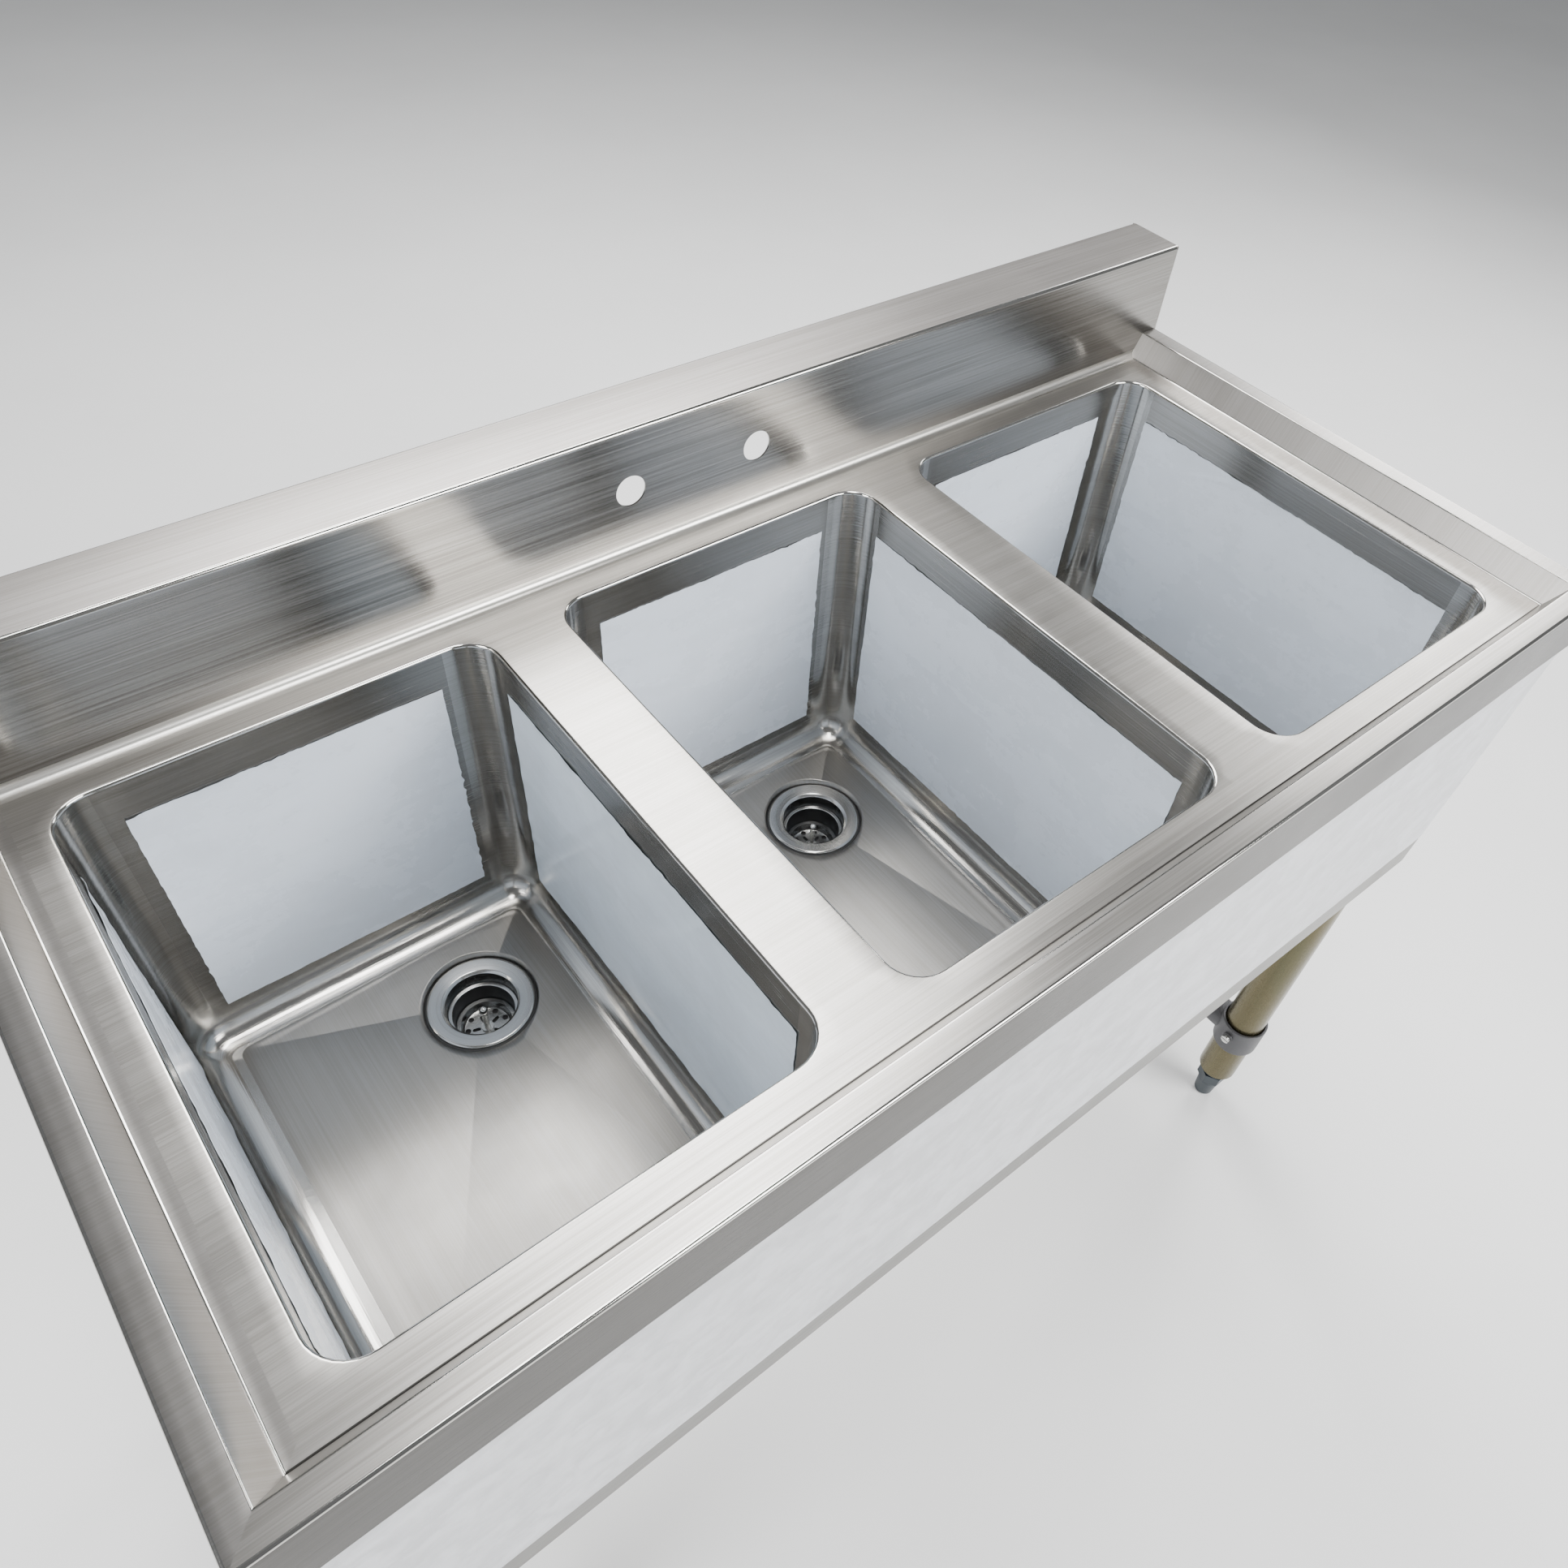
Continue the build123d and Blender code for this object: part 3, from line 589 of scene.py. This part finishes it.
def make_edges():
    """The raised edge: front, left and right runs, mitred at the two front corners."""
    profile = edge_profile()
    lengths = arc_lengths(profile)
    turning = np.linalg.norm(np.diff(profile, axis=0), axis=1) < 1.0 * MM
    count = 160
    for name, kind in (("edge_front", 0), ("edge_left", -1), ("edge_right", 1)):
        rows, uvs = [], []
        level_axis, inward = (1, 1) if kind == 0 else (0, -kind)
        for (out, up), across in zip(profile, lengths):
            if kind == 0:
                along = np.linspace(-(CREASE_X + out), CREASE_X + out, count)
                row = [(x, CREASE_Y - out, DECK + up) for x in along]
            else:
                along = np.linspace(CREASE_Y - out, SPLASH_Y + 1 * MM, count)
                row = [(kind * (CREASE_X + out), y, DECK + up) for y in along]
            row = np.array(row)
            swell = np.array([wave(p[0], p[1], p[2] * 0.4, 0.11) for p in row])
            ends = np.clip(np.minimum(np.arange(count), np.arange(count)[::-1]) / 8, 0, 1)
            amount = 0.22 * MM * swell * ends * np.clip(across / (10 * MM), 0, 1)
            if up < 15 * MM and out > EDGE_OUT - 1 * MM:
                amount = amount - 0.22 * MM * ends
                row[:, level_axis] -= amount * inward
            else:
                row[:, 2] += np.minimum(amount, 0.02 * MM)
            rows.append(row)
            if kind == 0:
                uvs.append(np.stack([along, np.full(count, across)], axis=1))
            else:
                uvs.append(np.stack([np.full(count, across), along], axis=1))
        piece = grid_object(name, rows, uvs, flip=(kind >= 0))
        steel = edge_steel if kind == 0 else side_steel
        others = (bend_painted_highlight_steel, face_painted_shade_steel, crease_painted_shade_steel)
        place(thicken(piece), steel, "sink", (), others)
        for polygon in piece.data.polygons:
            row = min(polygon.vertices) // count
            # bends of the raised edge take the lighter bend steel: a painted highlight
            if turning[row]:
                # the bend at the deck takes the near-black copy: painted shade in the crease
                at_deck = kind == 0 and polygon.center.z < DECK + 2 * MM
                polygon.material_index = 3 if at_deck else 1
            # the down-turned face takes the darker copy of the steel: painted shade
            elif profile[row][0] > EDGE_OUT - 0.1 * MM:
                polygon.material_index = 2


def splash_profile():
    """Distance back and height of the backsplash, from the deck to its rear flange."""
    high, ledge = top_hi.z - DECK, top_hi.y - SPLASH_Y
    points = [(-OVERLAP, 0), (0, 0), (0, high), (ledge, high), (ledge, high - FLANGE_DROP)]
    return rounded_polyline(points, (6 * MM, 2.6 * MM, 2.6 * MM), steps=8)


def make_backsplash():
    """The backsplash as strips between its folds, with the holes cut in the upright strip."""
    profile = splash_profile()
    lengths = arc_lengths(profile)
    columns = np.linspace(top_lo.x, top_hi.x, 161)
    wall_from, wall_to = 9, 10
    half_pitch = MOUNTS["faucet_holes"]["dims"]["spacing_x_mm"] / 2 * MM
    radius = MOUNTS["faucet_holes"]["dims"]["hole_r_mm"] * MM
    z0, z1 = profile[wall_from][1], profile[wall_to][1]
    holes = [circle((sign * half_pitch, FAUCET.z - DECK), radius, 48) for sign in (-1, 1)]
    step = columns[1] - columns[0]
    flat, faces = flat_with_holes((top_lo.x, top_hi.x), (z0, z1), holes, step)
    verts = [(x, SPLASH_Y, DECK + z) for x, z in flat]
    uvs = [(x, lengths[wall_from] + z - z0) for x, z in flat]

    def strip(rows, edge_z, backwards):
        last = indices(flat, [(x, edge_z) for x in columns])
        for k in rows:
            base = len(verts)
            verts.extend((x, SPLASH_Y + profile[k][0], DECK + profile[k][1]) for x in columns)
            uvs.extend((x, lengths[k]) for x in columns)
            for i in range(len(columns) - 1):
                quad = (last[i], last[i + 1], base + i + 1, base + i)
                faces.append(quad[::-1] if backwards else quad)
            last = list(range(base, base + len(columns)))

    strip(range(wall_from - 1, -1, -1), z0, True)
    strip(range(wall_to + 1, len(profile)), z1, False)
    verts = np.array(verts)
    for v in verts:
        if v[2] > DECK + 8 * MM and v[1] < SPLASH_Y + 1 * MM:
            below_top = max(0, (top_hi.z - 4 * MM - v[2]) / (15 * MM))
            fade = min(1, (v[2] - DECK - 8 * MM) / (20 * MM), below_top)
            v[1] += 0.2 * MM * max(0, fade) * wave(v[0], 7.0, v[2], 0.12)
    sheet = new_object("backsplash", verts, faces, uvs)
    others = (bend_painted_highlight_steel, ledge_painted_shade_steel, root_painted_highlight_steel)
    place(thicken(sheet), splash_steel, "sink", (), others)
    for polygon in sheet.data.polygons:
        # the ledge top takes the darker copy: painted shade
        if polygon.center.z > top_hi.z - 0.05 * MM:
            polygon.material_index = 2
        # the foot of the backsplash takes the lighter copy: a painted highlight
        elif polygon.center.z < DECK + 6.2 * MM and polygon.center.y < SPLASH_Y + 2 * MM:
            polygon.material_index = 3
        # folds of the backsplash take the lighter bend steel: a painted highlight
        elif polygon.center.z > top_hi.z - 2.6 * MM or 0.15 < abs(polygon.normal.z) < 0.97:
            polygon.material_index = 1


def make_end_plates():
    """Upright plates that close the ends of the ledge."""
    ys = np.linspace(SPLASH_Y, top_hi.y, 9)
    zs = np.linspace(DECK - PLATE_DROP, top_hi.z - 0.4 * MM, 21)
    for name, x, sign in (("end_plate_left", top_lo.x, -1), ("end_plate_right", top_hi.x, 1)):
        points = [[(x, y, z) for y in ys] for z in zs]
        uvs = [[(y, z) for y in ys] for z in zs]
        plate = grid_object(name, points, uvs, flip=(sign < 0))
        place(thicken(plate), edge_steel, "sink")


# ------------------------------------------------------------------ bowls
def make_bowl(side):
    """Bowl from its lip to the drain: lumpy ground corners, a cove and a creased floor."""
    lo, hi = BOWL_LO[side], BOWL_HI[side]
    centre = np.array(((lo.x + hi.x) / 2, (lo.y + hi.y) / 2))
    hx, hy = (hi.x - lo.x) / 2, (hi.y - lo.y) / 2
    drain = drain_centre(side)
    drain_xy = np.array((drain.x, drain.y))
    seed = {"left": 1.7, "middle": 5.3, "right": 9.1}[side]
    # each row is a loop in the plane, its height and its stage: 0 on the walls, up to 1
    # round the cove, 1 to 2 over the floor and 3 in the recess under the drain flange
    rows = []
    wall_top, wall_low = DECK - LIP_R, FLOOR_Z + FLOOR_RISE + COVE_R
    wall_steps, cove_steps, floor_steps = 64, 10, 34
    for k in range(wall_steps + 1):
        z = wall_top + (wall_low - wall_top) * k / wall_steps
        rows.append((ring(hx, hy, CORNER_R) + centre, z, 0.0))
    for k in range(1, cove_steps + 1):
        angle = k / cove_steps * math.pi / 2
        inset = COVE_R * (1 - math.cos(angle))
        z = wall_low - COVE_R * math.sin(angle)
        loop = ring(hx - inset, hy - inset, max(CORNER_R - inset, 7 * MM)) + centre
        rows.append((loop, z, k / cove_steps))
    rim = rows[-1][0]
    hole_r = 29 * MM
    recess_r = 41 * MM
    away = rim - drain_xy
    reach = np.hypot(away[:, 0], away[:, 1])
    direction = away / reach[:, None]
    for k in range(1, floor_steps + 1):
        t = (k / floor_steps) ** 0.85
        radius = reach + (recess_r - reach) * t
        loop = drain_xy + direction * radius[:, None]
        slope = pyramid(loop, drain_xy, centre, hx - COVE_R, hy - COVE_R)
        settle = min(1.0, k / 4)
        z = FLOOR_Z + FLOOR_RISE * (slope * settle + (1 - settle))
        rows.append((loop, z, 1 + t))
    recess = ((recess_r - 1.2 * MM, 0.8 * MM), (recess_r - 2.2 * MM, 2 * MM), (hole_r, 2 * MM))
    for radius, drop in recess:
        rows.append((drain_xy + direction * radius, FLOOR_Z - drop, 3.0))
    perimeter = arc_lengths(np.vstack([rows[0][0], rows[0][0][:1]]))[:-1]
    points, uvs, previous, run = [], [], None, 0.0
    for loop, z, stage in rows:
        pts = np.column_stack([loop, np.full(len(loop), z)])
        if previous is not None:
            run += float(np.median(np.linalg.norm(pts - previous, axis=1)))
        previous = pts.copy()
        if stage <= 1.0:
            uvs.append(np.column_stack([perimeter, np.full(len(loop), run)]))
        else:
            uvs.append(np.column_stack([loop[:, 1] + 3.0, loop[:, 0]]))
        points.append(dent_bowl(pts, centre, hx, hy, stage, seed))
    points = np.array(points)
    bowl = grid_object("bowl_" + side + "_shell", points, uvs, wrap=True)
    shades = (ground_steel, floor_painted_shade_steel)
    # the walls take the darker bowl steel: painted shade inside the bowl
    place(thicken(bowl), bowl_painted_shade_steel, "sink", ("bowl_" + side,), shades)
    columns = points.shape[1]
    stages = np.array([stage for _, _, stage in rows])
    ground = CORNER_R + 4 * MM
    for polygon in bowl.data.polygons:
        row, column = divmod(min(polygon.vertices), columns)
        x, y = points[row, column, :2] - centre
        rounded = abs(x) > hx - ground and abs(y) > hy - ground
        coved = 0 < stages[min(row + 1, len(stages) - 1)] <= 1.06
        if coved or (rounded and stages[row] <= 1):
            polygon.material_index = 1
        # the floor and recess take the darkest bowl steel: painted shade
        elif stages[row] > 1:
            polygon.material_index = 2


def pyramid(points, drain_xy, centre, hx, hy):
    """Height of the folded floor: 1 at its edges, 0 at the drain, creased to the corners."""
    away = points - drain_xy
    aside = drain_xy - centre
    reach_x = np.where(away[:, 0] > 0, hx - aside[0], hx + aside[0])
    reach_y = np.where(away[:, 1] > 0, hy - aside[1], hy + aside[1])
    return np.minimum(1, np.maximum(np.abs(away[:, 0]) / reach_x, np.abs(away[:, 1]) / reach_y))


def dent_bowl(pts, centre, hx, hy, stage, seed):
    """Unevenness of a hand-finished bowl: soft walls, lumpy welded corners, uneven cove."""
    local = pts[:, :2] - centre
    corner = np.clip((np.abs(local[:, 0]) - (hx - 34 * MM)) / (30 * MM), 0, 1)
    corner = corner * np.clip((np.abs(local[:, 1]) - (hy - 34 * MM)) / (30 * MM), 0, 1)
    inward = -local / np.hypot(local[:, 0], local[:, 1])[:, None]
    out = pts.copy()
    for i, p in enumerate(pts):
        x, y, z = p[0] + seed, p[1], p[2]
        if stage <= 1.0:
            depth = min(1.0, (DECK - LIP - p[2]) / (20 * MM))
            soft = 0.14 * wave(x, y, z, 0.10)
            lump = 0.14 * wave(x, y, z, 0.016) + 0.07 * wave(x * 2, y * 2, z * 4, 0.012)
            lump = corner[i] * lump
            cove = stage * (1 - corner[i]) * 0.15 * wave(x, y, z, 0.035) * 4 * stage * (1 - stage)
            pucker = stage * corner[i] * 0.7 * wave(x, y, z, 0.011)
            push = (soft + lump + cove + pucker) * depth * MM
            out[i, :2] += inward[i] * max(push, -0.5 * MM)
            out[i, 2] += stage * corner[i] * 0.3 * MM * wave(x, y, z, 0.013)
        elif stage < 3.0:
            soft = 0.22 * wave(x, y, 1.0, 0.07) + 0.05 * wave(x, y, 2.0, 0.02)
            out[i, 2] += soft * MM * min(1, 3 * (stage - 1))
    return out


# ------------------------------------------------------------------ protective film
def film_sheet(
    name, origin, u_dir, normal, corners, seed, material, replaced, lift=0.9, wrinkle=1.0
):
    """A torn-edged film on an upright wall: four corner points, ragged edges, lifted spots."""
    v_dir = (0, 0, 1)
    origin, u_dir, v_dir, normal = (np.array(tuple(a)) for a in (origin, u_dir, v_dir, normal))
    a, b, c, d = (np.array(p) for p in corners)
    width, height = np.linalg.norm(b - a), np.linalg.norm(d - a)
    step = 2.2 * MM
    cols, rows = max(24, int(width / step)), max(24, int(height / step))
    points, uvs = [], []
    for r in range(rows + 1):
        t = r / rows
        line, marks = [], []
        for k in range(cols + 1):
            s = k / cols
            p = a * (1 - s) * (1 - t) + b * s * (1 - t) + c * s * t + d * (1 - s) * t
            edge = min(s * width, (1 - s) * width, t * height, (1 - t) * height)
            near = math.exp(-edge / (4 * MM))
            rough = 0.3 + 1.7 * wrinkle * max(0, wave(p[0], p[1], seed + 1, 0.05) + 0.1)
            jag = near * rough * MM * np.array(
                (wave(p[0], p[1], seed, 0.005, 3), wave(p[0], p[1], seed + 9, 0.005, 3))
            )
            p = p + jag
            soft = 0.10 + 0.22 * max(0, wave(p[0], p[1], seed + 3, 0.05)) * wrinkle
            fold = wave(p[0] * 0.6 + p[1] * 1.4, p[1] * 0.4, seed + 5, 0.018, 3)
            crease = max(0, fold - 0.45) * 1.4 * wrinkle
            curl = near * lift * max(0, wave(p[0], p[1], seed + 7, 0.022) + 0.05)
            off = (0.40 + soft * 0.5 + crease * (0.3 + near) + curl) * MM
            line.append(origin + u_dir * p[0] + v_dir * p[1] + normal * off)
            marks.append(p)
        points.append(line)
        uvs.append(marks)
    facing = np.dot(np.cross(u_dir, v_dir), normal) > 0
    sheet = grid_object(name, points, uvs, flip=not facing)
    place(thicken(sheet, 0.1 * MM), material, "sink", replaced)


def make_bowl_films():
    """Film on the four walls of each bowl, stopping short of corners, deck edge and cove."""
    for n, side in enumerate(SIDES):
        lo, hi = BOWL_LO[side], BOWL_HI[side]
        width, length = hi.x - lo.x, hi.y - lo.y
        low, high = -(hi.z - FLOOR_Z) + 33 * MM, -22.5 * MM
        top = hi.z
        walls = (
            ("back", (lo.x, hi.y, top), (1, 0, 0), (0, -1, 0), width, 32 * MM),
            ("right", (hi.x, lo.y, top), (0, 1, 0), (-1, 0, 0), length, 27 * MM),
            ("front", (lo.x, lo.y, top), (1, 0, 0), (0, 1, 0), width, 30 * MM),
            ("left", (lo.x, lo.y, top), (0, 1, 0), (1, 0, 0), length, 27 * MM),
        )
        for k, (wall, origin, u_dir, normal, span, inset) in enumerate(walls):
            corners = ((inset, low), (span - inset, low), (span - inset, high), (inset, high))
            replaced = ("bowl_film_" + side,) if wall == "back" else ()
            shade = film_gloss if (side, wall) == ("left", "right") else film_blue
            seed = 11.0 * n + 2.3 * k
            name = f"film_{side}_{wall}"
            film_sheet(name, origin, u_dir, normal, corners, seed, shade, replaced)


def make_apron_film():
    """Film on the front apron, following its raked ends and stopping short of its lower edge."""
    lo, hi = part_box("apron_film")
    apron_lo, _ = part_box("front_apron")
    rake, apron_depth = 39 * MM, DECK - apron_lo.z
    width, height = hi.x - lo.x, hi.z - lo.z
    drop = rake * height / apron_depth
    corners = ((drop, 0), (width - drop, 0), (width, height), (0, height))
    film_sheet(
        "film_apron", (lo.x, hi.y, lo.z), (1, 0, 0), (0, -1, 0), corners, 71.0, film_white,
        ("apron_film",), lift=0.15, wrinkle=0.25,
    )


# ------------------------------------------------------------------ drains
def make_drain(side):
    """Turned flange and cup on a squeezed gasket."""
    top = drain_centre(side)
    outline = [
        (28, -1.7), (37.6, -1.7), (38.1, -0.9), (36.4, 0), (27.6, -0.9), (25.4, -2.6),
        (25.4, -13.6), (22.2, -13.8), (22.0, -41.8), (20.2, -42.0), (20, -71.6),
        (24.1, -71.6), (24.1, -44), (28, -42.5), (28, -1.7),
    ]
    radii = (0.3, 0.5, 1.2, 1.6, 1.0, 0.8, 0.5, 1.2, 0.6, 0.4, 0.4, 0.6, 0.6)
    body = lathe("drain_" + side, rounded_polyline(outline, radii, 5)[::-1], top)
    others = (cup_painted_shadow, throat_painted_shade)
    place(body, turned_steel, "sink", ("drain_body_" + side,), others)
    for polygon in body.data.polygons:
        middle = polygon.center - top
        reach = middle.xy.length
        shoulder = abs(middle.z + 13.7 * MM) < 0.5 * MM and reach < 24 * MM
        outer = polygon.normal.xy.dot(middle.xy) > 0
        if shoulder or outer:
            continue
        # the inside of the cup takes the near-black material: a painted shadow
        if reach < 25.3 * MM:
            polygon.material_index = 1
        # the throat wall takes the dark steel: painted shade
        elif reach < 25.6 * MM and middle.z < -2.6 * MM:
            polygon.material_index = 2

    seed = {"left": 2.0, "middle": 4.0, "right": 6.0}[side]

    def squeezed(angle, radius, height):
        if radius < 35:
            return 0, 0
        lean = 0.5 + 0.5 * math.cos(angle - math.radians(245))
        return 0.9 * lean + 0.25 * wave(math.cos(angle), math.sin(angle), seed, 0.7), -0.1 * lean

    gasket = [
        (28.1, -3.3), (38.2, -3.3), (39.3, -2.9), (39.4, -2.2), (38.3, -1.75), (28.1, -1.8),
        (28.1, -3.3),
    ]
    section = rounded_polyline(gasket, (0.3, 0.4, 0.3, 0.4, 0.3), 5)[::-1]
    seal = lathe("gasket_" + side, section, top, around=squeezed)
    place(seal, rubber, "sink", ("drain_gasket_" + side,))


# ------------------------------------------------------------------ camera
camera_data = bpy.data.cameras.new("camera")
camera = bpy.data.objects.new("camera", camera_data)
bpy.context.collection.objects.link(camera)
bpy.context.scene.camera = camera
camera.location = (-0.39457, -0.39972, 1.2620)
camera.rotation_euler = Euler([math.radians(a) for a in (41.172, -4.7638, -38.8473)])
camera_data.sensor_width = 36
camera_data.lens = 27.669
camera_data.shift_x = -0.03869
camera_data.shift_y = 0.01291
camera_data.clip_start = 0.01

# ------------------------------------------------------------------ the sink
make_deck()
make_edges()
make_backsplash()
make_end_plates()
for bowl_side in SIDES:
    make_bowl(bowl_side)
    make_drain(bowl_side)
make_bowl_films()
make_apron_film()

# CAD nodes that are shown as they are, by the start of their names
# the front apron takes the darker apron steel: painted shade
cad_materials = {
    "front_apron": apron_painted_shade_steel, "drain_washer": fibre, "drain_nut": cast_grey,
    "basket": strainer_steel, "basket_stopper": rubber, "basket_post": zinc,
    "end_rail": galvanised, "leg_bracket": galvanised, "leg": tube, "side_brace": tube,
    "brace_collar": cast_grey, "foot_insert": nylon, "foot": nylon,
    "bracket_bolts": zinc, "bracket_set_screws": zinc, "collar_set_screws": zinc,
}
for node_name, node in frame["nodes"].items():
    fits = [key for key in cad_materials if node_name.startswith(key)]
    if fits:
        chosen = cad_materials[max(fits, key=len)]
        for place_in in node.material_slots:
            place_in.material = chosen

# ------------------------------------------------------------------ floor, lights, world
bpy.ops.mesh.primitive_plane_add(size=12, location=(0, 0, 0))
floor = bpy.context.object
floor.name = "floor"
floor.data.materials.append(plain("floor", (0.90, 0.90, 0.895), 0.6, grain=4, vary=0.02, depth=0.0))


def area_light(name, position, target, size, power, colour=(1, 1, 1)):
    data = bpy.data.lights.new(name, "AREA")
    data.shape = "RECTANGLE"
    data.size, data.size_y = size
    data.energy = power
    data.color = colour
    lamp = bpy.data.objects.new(name, data)
    bpy.context.collection.objects.link(lamp)
    lamp.location = position
    aim = Vector(target) - Vector(position)
    lamp.rotation_euler = aim.to_track_quat("-Z", "Y").to_euler()


area_light("overhead", (0.5, 1.5, 2.6), (-0.1, 0, 0.7), (1.5, 1.5), 92)
area_light("ceiling", (0.1, -0.1, 3.2), (0, 0, 0.7), (1.5, 0.5), 42)
area_light("front_window", (1.1, -2.5, 2.2), (0.1, 0, 0.7), (2.0, 1.0), 140)
area_light("left_window", (-2.4, -0.2, 2.0), (0, 0, 0.6), (0.9, 1.6), 50)
area_light("right_window", (2.6, 0.6, 1.9), (0, 0, 0.6), (0.8, 1.6), 36)

world = bpy.data.worlds.new("world")
bpy.context.scene.world = world
world.use_nodes = True
world.node_tree.nodes["Background"].inputs[0].default_value = (0.62, 0.64, 0.66, 1)
world.node_tree.nodes["Background"].inputs[1].default_value = 0.32
